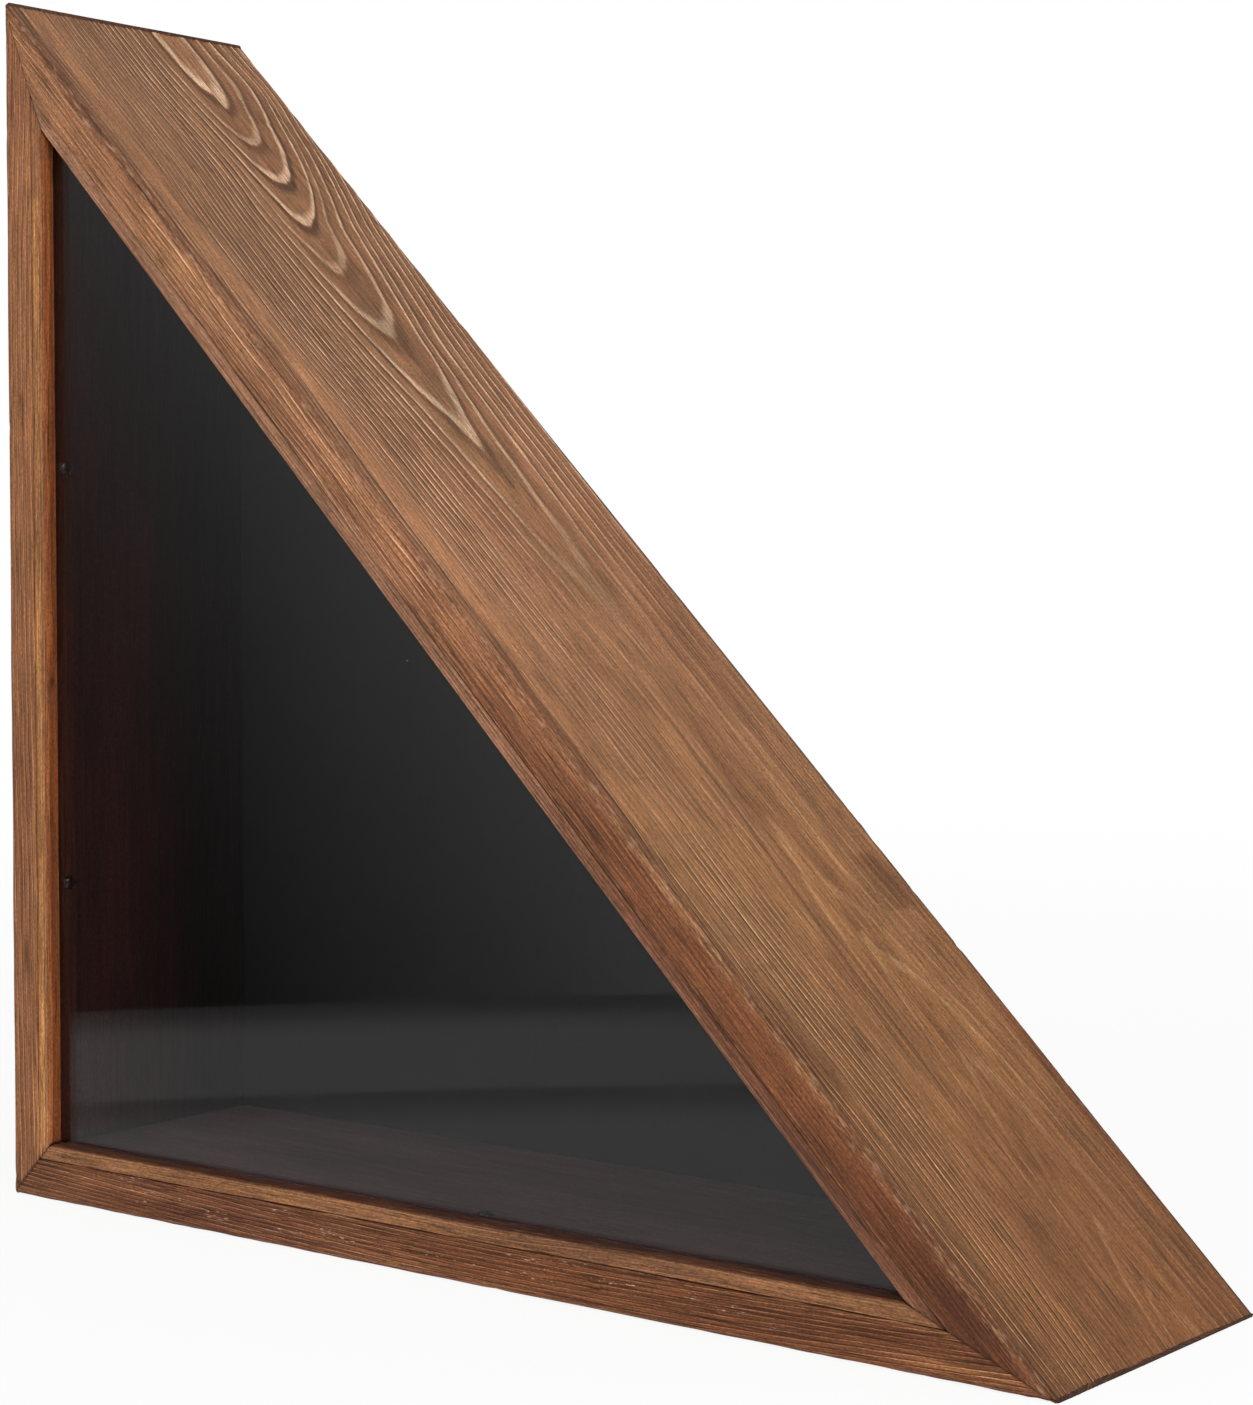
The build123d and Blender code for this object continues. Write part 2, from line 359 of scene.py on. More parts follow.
def long_stop_tint_and_shade(s, u, y):
    """Paler near the top, darker low down, and painted shade on its wall by the pane."""
    return (
        (1 - ramp(s, 100, 300), (1.1, 1.15, 1.2)),
        (ramp(s, 225, 300) * (1 - 0.5 * ramp(u, 12.0, 13.4)), (0.58, 0.46, 0.40)),
        # painted shade on the wall by the pane, which faces down into the case
        (ramp(u, 13.5, 14.0), (0.6, 0.5, 0.45)),
    )


def bottom_stop_patch_and_shade(s, u, y):
    """A slightly darker patch, and painted shade on the wall by the pane."""
    return (
        (bump_at(s, u, 110, 12, 35, 6), (0.85, 0.85, 0.95)),
        # painted shade: the dark shadow band beside the lip, put onto the wall by the pane
        (ramp(u, 13.45, 13.95), (0.26, 0.17, 0.13)),
    )


def spacer_grain(washes):
    """A spacer's grain: faint wide rings under a dark stain."""

    def grain(s, u, y):
        ring = y / 5.5 + 0.6 * np.sin(s / 60) + 0.9 * field(s, u, y, (60, 9, 9), 51, 2)
        return ring, tinted(s, *washes(s, u, y)), 0.12 + 0 * s, 0 * s

    return grain


def left_spacer_light_and_shade(s, u, y):
    """Painted light low down near the pane, and painted shade towards the back: darker and less red.
    """
    return (
        # painted light where the light comes in through the pane
        ((1 - ramp(s, 90, 240)) * (1 - ramp(y, 18, 55)), (1.75, 2.2, 2.4)),
        # painted shade deeper inside the case
        (ramp(y, 34, 56), (0.40, 0.55, 0.70)),
    )


def bottom_spacer_painted_light(s, u, y):
    """Painted light: much paler and less red all over, as the room's light falls on its top."""
    # painted light on the top of the bottom spacer
    return ((0 * s + 1, (3.1, 6.6, 8.6)),)


def long_spacer_washes(s, u, y):
    """Just as it is stained."""
    return ()


# ---------------------------------------------------------------- boards

ARC_STEPS = 6
TIP_GAP = 0.02  # how far a sharp tip stays inside the neighbouring board's outer face
END_EASE = 0.22  # how far a board's end is eased, so that the mitre shows
NEAR_ENDS = np.array([0.25, 0.6, 1.1])  # rows of points close to each end
SHARP_WOOD = math.radians(42)
# about how deep the soft wood, the fibres, slow waves and nicks in the edges go, at relief 1
SOFT_SINK, FIBRE_SINK, WAVE_SINK, NICK_SINK = 0.15, 0.035, 0.05, 0.2


def outline(corners, radii, steps):
    """Points round a section: each corner rounded, then the edge after it cut into steps."""
    points, count = [], len(corners)
    corners = [np.array(c, float) for c in corners]
    for i, corner in enumerate(corners):
        before = corners[i - 1] - corner
        after = corners[(i + 1) % count] - corner
        before, after = before / np.linalg.norm(before), after / np.linalg.norm(after)
        start, end = corner + before * radii[i], corner + after * radii[i]
        for k in range(ARC_STEPS + 1):
            t = k / ARC_STEPS
            points.append((1 - t) ** 2 * start + 2 * t * (1 - t) * corner + t * t * end)
        following = corners[(i + 1) % count] - after * radii[(i + 1) % count]
        pieces = max(1, round(np.linalg.norm(following - end) / steps[i]))
        points += [end + (following - end) * k / pieces for k in range(1, pieces)]
    return np.array(points)


def normals_of(loop):
    """The way out at each point of a loop, whichever way it runs."""
    along = np.roll(loop, -1, axis=0) - np.roll(loop, 1, axis=0)
    along /= np.linalg.norm(along, axis=1)[:, None]
    area = np.sum(loop[:, 0] * np.roll(loop[:, 1], -1) - np.roll(loop[:, 0], -1) * loop[:, 1])
    out = np.stack([along[:, 1], -along[:, 0]], axis=1)
    return out if area > 0 else -out


def put_attribute(mesh, name, kind, values):
    layer = mesh.attributes.new(name, kind, "POINT")
    key = {"FLOAT": "value", "FLOAT_COLOR": "color", "FLOAT_VECTOR": "vector"}[kind]
    layer.data.foreach_set(key, np.ascontiguousarray(values, dtype=np.float32).ravel())


def new_object(name, mesh, material):
    mesh.materials.append(material)
    obj = bpy.data.objects.new(name, mesh)
    bpy.context.scene.collection.objects.link(obj)
    return obj


def smooth_outwards(mesh, sharp_angle):
    """Turn the faces outwards and shade them smooth, apart from the sharp edges."""
    if signed_volume(mesh) < 0:
        mesh.flip_normals()
    mesh.polygons.foreach_set("use_smooth", np.ones(len(mesh.polygons), dtype=bool))
    mesh.set_sharp_from_angle(angle=sharp_angle)


def signed_volume(mesh):
    """Three times the volume inside, or less than 0 where the faces point inwards."""
    return sum(polygon.center.dot(polygon.normal) * polygon.area for polygon in mesh.polygons)


def tube_mesh(name, points, rows, columns):
    """A closed mesh from rows of points, each row a loop, with a flat cap at both ends."""
    i, j = np.meshgrid(np.arange(rows - 1), np.arange(columns), indexing="ij")
    k = (j + 1) % columns
    corners = (i * columns + j, i * columns + k, (i + 1) * columns + k, (i + 1) * columns + j)
    quads = np.stack(corners, axis=2).reshape(-1, 4)
    caps = [np.arange(columns), (rows - 1) * columns + np.arange(columns)[::-1]]
    loops = np.concatenate([quads.ravel(), *caps]).astype(np.int32)
    sizes = np.concatenate([np.full(len(quads), 4), [columns, columns]]).astype(np.int32)
    starts = np.concatenate([[0], np.cumsum(sizes)[:-1]]).astype(np.int32)
    mesh = bpy.data.meshes.new(name)
    mesh.vertices.add(len(points))
    mesh.vertices.foreach_set("co", points.astype(np.float32).ravel())
    mesh.loops.add(len(loops))
    mesh.loops.foreach_set("vertex_index", loops)
    mesh.polygons.add(len(sizes))
    mesh.polygons.foreach_set("loop_start", starts)
    mesh.update(calc_edges=True)
    mesh.validate()
    return mesh


def board(name, side, loop, grain, material, spacing, relief):
    """A board along a side, mitred at both ends, with its grain stored at every point.

    spacing is how far apart its rows of points are, and relief how deep its surface is worn.
    """
    (start_x, start_z), (way_x, way_z), (in_x, in_z), cot_start, cot_end, length = SIDES[side]
    out = normals_of(loop)
    u, y = loop[:, 0], loop[:, 1]
    first, last = u * cot_start, length - u * cot_end
    middle = np.linspace(0, 1, max(2, round(length / spacing)) + 1)
    near = NEAR_ENDS / length
    places = np.concatenate([[0], near, middle[1:-1], 1 - near[::-1], [1]])
    places = np.unique(np.round(places, 7))
    rows, columns = len(places), len(loop)
    along = first[None, :] + places[:, None] * (last - first)[None, :]
    shape = along.shape
    s_all = along.ravel()
    u_all, y_all = (np.broadcast_to(values, shape).ravel() for values in (u, y))
    from_end = np.minimum(places, 1 - places)[:, None] * length

    ring, tint, strength, chips = grain(s_all, u_all, y_all)
    line = np.abs((ring + 0.5) % 1 - 0.5)
    ridge = hump(line, 0, 0.17).reshape(shape)
    fibre = field(s_all, u_all, y_all, (22, 0.9, 0.9), 71).reshape(shape)
    slow = field(s_all, u_all, y_all, (70, 30, 30), 73).reshape(shape)
    nick = ramp(field(s_all, u_all, y_all, (3.5, 1.8, 1.8), 77), 0.55, 0.95).reshape(shape)
    edge = edge_factor(loop)[None, :]
    sink = relief * (SOFT_SINK * (1 - ridge) * strength.reshape(shape) + FIBRE_SINK * (1 - fibre))
    sink = sink + relief * WAVE_SINK * (1 - slow) + relief * NICK_SINK * nick * edge
    sink = sink + END_EASE * np.exp(-from_end / 0.35)
    inward, depth = u - sink * out[:, 0], y - sink * out[:, 1]
    x = np.maximum(start_x + way_x * along + in_x * inward, TIP_GAP - HALF)
    z = np.maximum(start_z + way_z * along + in_z * inward, TIP_GAP)
    points = np.stack([x, FRONT + depth, z], axis=2).reshape(-1, 3) * MM

    mesh = tube_mesh(name, points, rows, columns)
    smooth_outwards(mesh, SHARP_WOOD)
    wear = np.stack([strength, chips, np.broadcast_to(edge, shape).ravel()], axis=1)
    end_near = np.broadcast_to(np.exp(-from_end / 0.5), shape).ravel()
    put_attribute(mesh, "grain_place", "FLOAT_VECTOR", np.stack([s_all, u_all, y_all], axis=1) * MM)
    put_attribute(mesh, "grain_ring", "FLOAT", ring)
    put_attribute(mesh, "stain_light_and_shade_tint", "FLOAT_COLOR", tint)
    put_attribute(mesh, "wear", "FLOAT_VECTOR", wear)
    put_attribute(mesh, "end_near", "FLOAT", end_near)
    return new_object(name, mesh, material)


def edge_factor(loop):
    """1 on the rounded edges of a section, 0 on its flats."""
    ahead = np.roll(loop, -1, axis=0) - loop
    behind = loop - np.roll(loop, 1, axis=0)
    ahead /= np.linalg.norm(ahead, axis=1)[:, None]
    behind /= np.linalg.norm(behind, axis=1)[:, None]
    turn = np.abs(ahead[:, 0] * behind[:, 1] - ahead[:, 1] * behind[:, 0])
    sharp = np.clip(turn * 8, 0, 1)
    for _ in range(3):
        sharp = np.maximum(sharp, 0.6 * np.maximum(np.roll(sharp, 1), np.roll(sharp, -1)))
    return sharp


# ---------------------------------------------------------------- materials


class Tree:
    """A material's nodes, built a line at a time."""

    def __init__(self, name, world=False):
        self.material = (bpy.data.worlds if world else bpy.data.materials).new(name)
        self.material.use_nodes = True
        self.nodes = self.material.node_tree.nodes
        self.links = self.material.node_tree.links
        self.shader = self.nodes["Background" if world else "Principled BSDF"]

    def add(self, kind, **settings):
        node = self.nodes.new(kind)
        for key, value in settings.items():
            setattr(node, key, value)
        return node

    def put(self, socket, value):
        if hasattr(value, "is_output"):
            self.links.new(value, socket)
        else:
            socket.default_value = value

    def attribute(self, name, output="Fac"):
        return self.add("ShaderNodeAttribute", attribute_name=name).outputs[output]

    def math(self, operation, a, b=0.0, clamp=False):
        node = self.add("ShaderNodeMath", operation=operation, use_clamp=clamp)
        self.put(node.inputs[0], a)
        self.put(node.inputs[1], b)
        return node.outputs[0]

    def stretch(self, vector, factors):
        node = self.add("ShaderNodeVectorMath", operation="MULTIPLY")
        self.put(node.inputs[0], vector)
        self.put(node.inputs[1], factors)
        return node.outputs[0]

    def shift(self, vector, offset):
        node = self.add("ShaderNodeVectorMath", operation="ADD")
        self.put(node.inputs[0], vector)
        self.put(node.inputs[1], offset)
        return node.outputs[0]

    def noise(self, vector, detail, roughness=0.5):
        """Noise with one lump to a unit of the vector."""
        node = self.add("ShaderNodeTexNoise")
        self.put(node.inputs["Vector"], vector)
        self.put(node.inputs["Scale"], 1.0)
        self.put(node.inputs["Detail"], detail)
        self.put(node.inputs["Roughness"], roughness)
        return node.outputs["Fac"]

    def remap(self, value, low, high, to_low=0.0, to_high=1.0, smooth=True):
        """The value carried from one range to another, and held at the ends."""
        node = self.add("ShaderNodeMapRange", interpolation_type="SMOOTHSTEP" if smooth else "LINEAR")
        for socket, number in zip(node.inputs, (value, low, high, to_low, to_high)):
            self.put(socket, number)
        return node.outputs[0]

    def mix(self, amount, a, b, blend="MIX"):
        node = self.add("ShaderNodeMix", data_type="RGBA", blend_type=blend)
        self.put(node.inputs["Factor"], amount)
        for socket, value in ((node.inputs[6], a), (node.inputs[7], b)):
            self.put(socket, value if hasattr(value, "is_output") else (*value, 1.0))
        return node.outputs[2]

    def split(self, vector):
        node = self.add("ShaderNodeSeparateXYZ")
        self.put(node.inputs[0], vector)
        return node.outputs

    def bump(self, height, strength, distance):
        node = self.add("ShaderNodeBump")
        self.put(node.inputs["Height"], height)
        self.put(node.inputs["Strength"], strength)
        self.put(node.inputs["Distance"], distance)
        return node.outputs[0]


def shade(colour, amount):
    return tuple(channel * amount for channel in colour)


def ring_lines(t, where, strength):
    """The hard line of each ring, and the dark soft wood that follows it."""
    ring = t.attribute("grain_ring")
    wander = t.noise(t.stretch(where, (60, 220, 220)), detail=3)
    ring = t.math("ADD", ring, t.math("MULTIPLY", t.math("SUBTRACT", wander, 0.5), 0.32))
    part = t.math("FRACT", t.math("ADD", ring, 0.5))
    each = t.add("ShaderNodeTexWhiteNoise", noise_dimensions="1D")
    t.put(each.inputs["W"], t.math("FLOOR", t.math("ADD", ring, 0.5)))
    uneven = t.remap(each.outputs["Value"], 0, 1, 0.55, 1.25, smooth=False)
    amount = t.math("MULTIPLY", strength, uneven)
    rise = t.remap(part, 0.32, 0.50)
    fall = t.remap(part, 0.56, 0.63)
    line = t.math("MULTIPLY", rise, t.math("SUBTRACT", 1.0, fall))
    line = t.math("MULTIPLY", line, amount, clamp=True)
    after_end = t.math("SUBTRACT", 1.0, t.remap(part, 0.72, 0.95))
    after = t.math("MULTIPLY", t.remap(part, 0.60, 0.67), after_end)
    after = t.math("MULTIPLY", after, amount, clamp=True)
    return line, after


def brush_marks(t, where):
    """Long scratches where the face is brushed, and short dark dashes all over."""
    brushed = t.attribute("stain_light_and_shade_tint", "Alpha")
    dash = t.noise(t.stretch(where, (130, 3200, 3200)), detail=2)
    dash = t.math("ADD", dash, t.math("MULTIPLY", brushed, 0.05))
    patchy = t.noise(t.stretch(where, (40, 160, 160)), detail=2)
    dashes = t.math("MULTIPLY", t.remap(dash, 0.60, 0.70), t.remap(patchy, 0.40, 0.60))
    scratch = t.noise(t.stretch(where, (24, 1300, 1300)), detail=3, roughness=0.6)
    scratch = t.math("MULTIPLY", t.remap(scratch, 0.55, 0.64), brushed, clamp=True)
    return dashes, scratch


def chipped(t, where, amount):
    """Small pale chips, in a few places only."""
    chip_noise = t.noise(t.stretch(where, (500, 2600, 2600)), detail=2)
    chip_area = t.noise(t.stretch(where, (45, 320, 320)), detail=1)
    chip = t.math("MULTIPLY", t.remap(chip_noise, 0.60, 0.66), t.remap(chip_area, 0.55, 0.63))
    return t.math("MULTIPLY", chip, amount)


CHIP_COLOUR = (0.60, 0.47, 0.36)


def wood(name, dark, mid, light, fibre_amount, place=(0, 0, 0), deep=0.7, dashed=0.8):
    """Stained and wire-brushed softwood: hard rings stand up lighter than the soft wood.

    fibre_amount, deep and dashed say how strong the fibres, the dark side of each ring and
    the dashes are. place shifts the noise, so that no two woods share it.
    """
    t = Tree(name)
    where = t.shift(t.attribute("grain_place", "Vector"), place)
    ring_strength, chips, edge = t.split(t.attribute("wear", "Vector"))
    line, after = ring_lines(t, where, ring_strength)
    dashes, scratch = brush_marks(t, where)
    fibre = t.noise(t.stretch(where, (60, 1700, 1700)), detail=5, roughness=0.68)
    coarse = t.noise(t.stretch(where, (14, 420, 420)), detail=3, roughness=0.6)
    blotch = t.noise(t.stretch(where, (16, 60, 60)), detail=3)
    speck = t.noise(t.stretch(where, (1100, 2600, 2600)), detail=3, roughness=0.7)

    body = t.mix(t.remap(blotch, 0.3, 0.7), dark, mid)
    body = t.mix(t.math("MULTIPLY", t.remap(coarse, 0.35, 0.68), 0.5), body, mid)
    body = t.mix(t.math("MULTIPLY", after, deep), body, shade(dark, 0.50))
    body = t.mix(t.math("MULTIPLY", line, 0.9), body, light)
    grey = t.remap(fibre, 0.32, 0.68, 1 - fibre_amount, 1 + fibre_amount * 0.8, smooth=False)
    body = t.mix(1.0, body, grey_colour(t, grey), "MULTIPLY")
    grit = t.remap(speck, 0.32, 0.68, 0.55, 1.45, smooth=False)
    body = t.mix(1.0, body, grey_colour(t, grit), "MULTIPLY")
    body = t.mix(t.math("MULTIPLY", scratch, 0.75), body, shade(dark, 0.45))
    body = t.mix(t.math("MULTIPLY", dashes, dashed), body, shade(dark, 0.35))
    # the stain's tint, which on some stops and spacers also holds painted light and shade
    body = t.mix(1.0, body, t.attribute("stain_light_and_shade_tint", "Color"), "MULTIPLY")
    body = t.mix(t.math("MULTIPLY", chipped(t, where, chips), 0.8), body, CHIP_COLOUR)
    edge_noise = t.noise(t.stretch(where, (320, 1500, 1500)), detail=3)
    worn = t.math("MULTIPLY", edge, t.remap(edge_noise, 0.50, 0.70))
    body = t.mix(t.math("MULTIPLY", worn, 0.22), body, light)
    seam = t.math("MULTIPLY", t.attribute("end_near"), 0.75)
    body = t.mix(seam, body, shade(dark, 0.16))
    t.put(t.shader.inputs["Base Color"], body)

    rough = t.remap(fibre, 0.25, 0.75, 0.70, 0.48, smooth=False)
    t.put(t.shader.inputs["Roughness"], t.math("SUBTRACT", rough, t.math("MULTIPLY", line, 0.08)))
    t.shader.inputs["Specular IOR Level"].default_value = 0.25
    height = t.math("ADD", t.math("MULTIPLY", line, 0.6), t.math("MULTIPLY", fibre, 1.0))
    height = t.math("ADD", height, t.math("MULTIPLY", speck, 0.35))
    marks = t.math("ADD", dashes, scratch)
    height = t.math("SUBTRACT", height, t.math("MULTIPLY", marks, 0.5))
    t.put(t.shader.inputs["Normal"], t.bump(height, 0.85, 0.0004))
    return t.material


def grey_colour(t, value):
    """A grey that may be brighter than white."""
    node = t.add("ShaderNodeCombineColor")
    for socket in node.inputs[:3]:
        t.put(socket, value)
    return node.outputs[0]


# each wood with its dark, middle and light colour
outer_wood = wood(
    "outer_wood",
    (0.216, 0.092, 0.040),
    (0.346, 0.159, 0.072),
    (0.74, 0.48, 0.31),
    fibre_amount=0.62,
    deep=0.9,
)
left_wood = wood(
    "left_wood",
    (0.187, 0.067, 0.024),
    (0.312, 0.123, 0.048),
    (0.50, 0.235, 0.108),
    place=(2, 0, 0),
    fibre_amount=0.55,
)
bottom_wood = wood(
    "bottom_wood",
    (0.094, 0.029, 0.012),
    (0.187, 0.065, 0.027),
    (0.36, 0.160, 0.080),
    place=(4, 0, 0),
    fibre_amount=0.5,
    deep=0.9,
)
left_strip_wood = wood(
    "left_strip_wood",
    (0.185, 0.068, 0.024),
    (0.295, 0.120, 0.045),
    (0.46, 0.225, 0.095),
    place=(5, 0, 0),
    fibre_amount=0.42,
    deep=0.5,
)
golden_wood = wood(
    "golden_wood",
    (0.185, 0.072, 0.026),
    (0.300, 0.128, 0.050),
    (0.41, 0.20, 0.088),
    place=(6, 0, 0),
    fibre_amount=0.36,
    deep=0.45,
)
long_strip_wood = wood(
    "long_strip_wood",
    (0.20, 0.082, 0.038),
    (0.31, 0.136, 0.068),
    (0.47, 0.25, 0.14),
    place=(8, 0, 0),
    fibre_amount=0.42,
)
spacer_wood = wood(
    "spacer_wood",
    (0.026, 0.0065, 0.005),
    (0.052, 0.012, 0.009),
    (0.066, 0.019, 0.015),
    place=(10, 0, 0),
    fibre_amount=0.10,
    deep=0.1,
    dashed=0.1,
)

# ---------------------------------------------------------------- the case's wood

FRONT_ROUND, REAR_ROUND, JOINT_ROUND, INNER_ROUND = 2.0, 1.0, 0.35, 0.3
JOINT_GAP = 0.02  # between a plank and the strips on it
PLANK_CORNERS = [(0, 0), (PLANK, 0), (PLANK, DEPTH), (0, DEPTH)]
PLANK_RADII = (FRONT_ROUND, JOINT_ROUND, INNER_ROUND, REAR_ROUND)
STOP_CORNERS = [
    (PLANK + JOINT_GAP, 0.06),
    (LIP - 0.7, 0.25),
    (LIP, 0.95),
    (LIP, STOP_BACK),
    (PLANK + JOINT_GAP, STOP_BACK),
]
SPACER_CORNERS = [
    (PLANK + JOINT_GAP, SPACER_FRONT),
    (LIP, SPACER_FRONT),
    (LIP, SPACER_BACK),
    (PLANK + JOINT_GAP, SPACER_BACK),
]
# the sections, with the steps that each edge is cut into
coarse_plank = outline(PLANK_CORNERS, PLANK_RADII, (0.4, 9.0, 1.0, 0.9))
fine_plank = outline(PLANK_CORNERS, PLANK_RADII, (0.4, 9.0, 1.0, 0.5))
stop_loop = outline(STOP_CORNERS, (0.3, 0.35, 0.35, 0.15, 0.15), (0.35, 0.3, 0.4, 1.0, 2.0))
spacer_loop = outline(SPACER_CORNERS, (0.2, 0.4, 0.4, 0.2), (0.7, 1.2, 0.7, 9.0))

# each side's plank: its section, grain, wood and the spacing of its rows
planks = {
    "left": (coarse_plank, left_plank_grain, left_wood, 2.0),
    "long": (fine_plank, long_plank_grain, outer_wood, 1.5),
    "bottom": (coarse_plank, bottom_plank_grain, bottom_wood, 2.0),
}
# each side's front stop: its grain and its wood
stops = {
    "left": (strip_grain(left_stop_washes, spacing=1.1, seed=41), left_strip_wood),
    "long": (strip_grain(long_stop_tint_and_shade, spacing=0.9, seed=45), long_strip_wood),
    "bottom": (strip_grain(bottom_stop_patch_and_shade, spacing=1.3, seed=47, lean=2.2), golden_wood),
}
# each spacer's washes: painted light and shade on the left and bottom ones, none on the long one
spacer_washes = {
    "left": left_spacer_light_and_shade,
    "long": long_spacer_washes,
    "bottom": bottom_spacer_painted_light,
}
for side in SIDES:
    plank_loop, plank_grain, plank_wood, spacing = planks[side]
    stop_grain, stop_wood = stops[side]
    plank = board(
        f"{side}_plank_wood", side, plank_loop, plank_grain, plank_wood, spacing, relief=1.0
    )
    stop = board(
        f"{side}_front_stop_wood", side, stop_loop, stop_grain, stop_wood, spacing=2.0, relief=0.6
    )
    lining = spacer_grain(spacer_washes[side])
    spacer = board(
        f"{side}_spacer_wood", side, spacer_loop, lining, spacer_wood, spacing=3.0, relief=0.6
    )
    for piece, node, slot in (
        (plank, f"{side}_plank", "stained_wood"),
        (stop, f"{side}_front_stop", "golden_wood"),
        (spacer, f"{side}_spacer", "inner_wood"),
    ):
        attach(piece, "case")
        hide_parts(node)

# ---------------------------------------------------------------- other materials


def in_frame(t):
    """A point's place in metres: CAD nodes and new pieces sit at the origin."""
    return t.add("ShaderNodeTexCoord").outputs["Object"]


def assign(node, material):
    mesh = nodes[node].data
    if not mesh.materials:
        mesh.materials.append(material)
    for slot in nodes[node].material_slots:
        slot.material = material


def pane_material():
    """Clear glass, a little smudged, with a few specks of dust on it."""
    t = Tree("clear_pane")
    smudge = t.noise(t.stretch(in_frame(t), (30, 30, 30)), detail=3)
    t.put(t.shader.inputs["Roughness"], t.remap(smudge, 0.35, 0.75, 0.004, 0.03))
    t.shader.inputs["Base Color"].default_value = (0.88, 0.88, 0.88, 1)
    t.shader.inputs["Transmission Weight"].default_value = 1.0
    t.shader.inputs["IOR"].default_value = 1.49
    cells = t.add("ShaderNodeTexVoronoi")
    t.put(cells.inputs["Vector"], in_frame(t))
    cells.inputs["Scale"].default_value = 55
    speck = t.math("LESS_THAN", cells.outputs["Distance"], 0.013)
    chosen = t.math("GREATER_THAN", t.split(cells.outputs["Color"])[0], 0.80)
    dust = t.add("ShaderNodeBsdfDiffuse")
    dust.inputs["Color"].default_value = (0.55, 0.54, 0.52, 1)
    blend = t.add("ShaderNodeMixShader")
    t.put(blend.inputs[0], t.math("MULTIPLY", t.math("MULTIPLY", speck, chosen), 0.45))
    t.links.new(t.shader.outputs[0], blend.inputs[1])
    t.links.new(dust.outputs[0], blend.inputs[2])
    t.links.new(blend.outputs[0], t.nodes["Material Output"].inputs["Surface"])
    return t.material


def steel_material(name, colour, rough, metallic=1.0):
    t = Tree(name)
    where = in_frame(t)
    grain = t.noise(t.stretch(where, (900, 900, 900)), detail=3)
    stain = t.noise(t.stretch(where, (180, 180, 180)), detail=3)
    body = t.mix(t.remap(stain, 0.4, 0.7), colour, shade(colour, 0.62))
    t.put(t.shader.inputs["Base Color"], body)
    t.put(t.shader.inputs["Roughness"], t.remap(grain, 0.3, 0.7, rough - 0.08, rough + 0.12))
    t.shader.inputs["Metallic"].default_value = metallic
    t.put(t.shader.inputs["Normal"], t.bump(grain, 0.3, 0.00005))
    return t.material


def felt_material():
    t = Tree("black_felt")
    where = in_frame(t)
    fuzz = t.noise(t.stretch(where, (2400, 2400, 2400)), detail=4, roughness=0.7)
    lay = t.noise(t.stretch(where, (90, 90, 90)), detail=3)
    body = t.mix(t.remap(fuzz, 0.3, 0.7), (0.012, 0.012, 0.0125), (0.019, 0.019, 0.0195))
    body = t.mix(t.math("MULTIPLY", t.remap(lay, 0.35, 0.75), 0.25), body, (0.021, 0.021, 0.0215))
    t.put(t.shader.inputs["Base Color"], body)
    t.shader.inputs["Roughness"].default_value = 0.95
    t.shader.inputs["Specular IOR Level"].default_value = 0.15
    t.shader.inputs["Sheen Weight"].default_value = 0.15
    t.shader.inputs["Sheen Roughness"].default_value = 0.4
    t.put(t.shader.inputs["Normal"], t.bump(fuzz, 0.25, 0.0002))
    return t.material


def board_material(name, base, fleck, layer=0.0):
    """Fibreboard or card; layer is how thick each ply is where the edge shows plies, in metres."""
    t = Tree(name)
    where = in_frame(t)
    chips = t.noise(t.stretch(where, (700, 700, 700)), detail=4, roughness=0.65)
    cloud = t.noise(t.stretch(where, (30, 30, 30)), detail=3)
    body = t.mix(t.remap(chips, 0.35, 0.72), base, fleck)
    body = t.mix(t.math("MULTIPLY", t.remap(cloud, 0.35, 0.7), 0.35), body, shade(base, 0.8))
    if layer:
        y = t.split(where)[1]
        band = t.math("ABSOLUTE", t.math("SINE", t.math("MULTIPLY", y, math.pi / layer)))
        body = t.mix(t.math("MULTIPLY", band, 0.25), body, shade(base, 0.5))
    t.put(t.shader.inputs["Base Color"], body)
    t.put(t.shader.inputs["Roughness"], t.remap(chips, 0.3, 0.7, 0.85, 0.65))
    t.put(t.shader.inputs["Normal"], t.bump(chips, 0.4, 0.00015))
    return t.material


plated = steel_material("plated_steel", (0.62, 0.61, 0.57), 0.32)
bare = steel_material("bare_steel", (0.36, 0.35, 0.34), 0.42)
tack_black = steel_material("black_tack", (0.012, 0.012, 0.013), 0.30, metallic=0.0)
fibreboard = board_material("fibreboard", (0.20, 0.105, 0.055), (0.30, 0.17, 0.09))
card = board_material("backing_board", (0.42, 0.36, 0.28), (0.56, 0.50, 0.41), layer=0.0012)

assign("glass_pane", pane_material())
assign("spacer_tacks", tack_black)
assign("turn_button_screws", plated)
assign("corner_v_nails", bare)
assign("mitre_brads", bare)
assign("backing_pad", card)
assign("back_panel", fibreboard)
for name in nodes:
    if name.startswith("turn_button_") and name != "turn_button_screws":
        assign(name, plated)

# ---------------------------------------------------------------- felt

FELT_INSET, TIP_CUT = 10.7, 3.0
FELT_STEP, FELT_RINGS = 6, 40
SOFT_IN, SOFT_BACK = 0.4, 0.35  # how the felt's front edge is rounded
SHARP_FELT = math.radians(50)


def felt_corners():
    """The felt's outline: a triangle just inside the planks, with its three tips cut off."""
    far = LEG - FELT_INSET * (1 + math.sqrt(2))
    corners = ((FELT_INSET, FELT_INSET), (FELT_INSET, far), (far, FELT_INSET))
    a, b, c = (np.array(corner) for corner in corners)
    points = []
    for here, to, fro in ((a, b, c), (b, c, a), (c, a, b)):
        for target in (fro, to):
            way = (target - here) / np.linalg.norm(target - here)
            points.append(here + way * TIP_CUT)
    return np.array(points)


def at_depth(ring, y):
    return np.stack([ring[:, 0], np.full(len(ring), y), ring[:, 1]], axis=1)


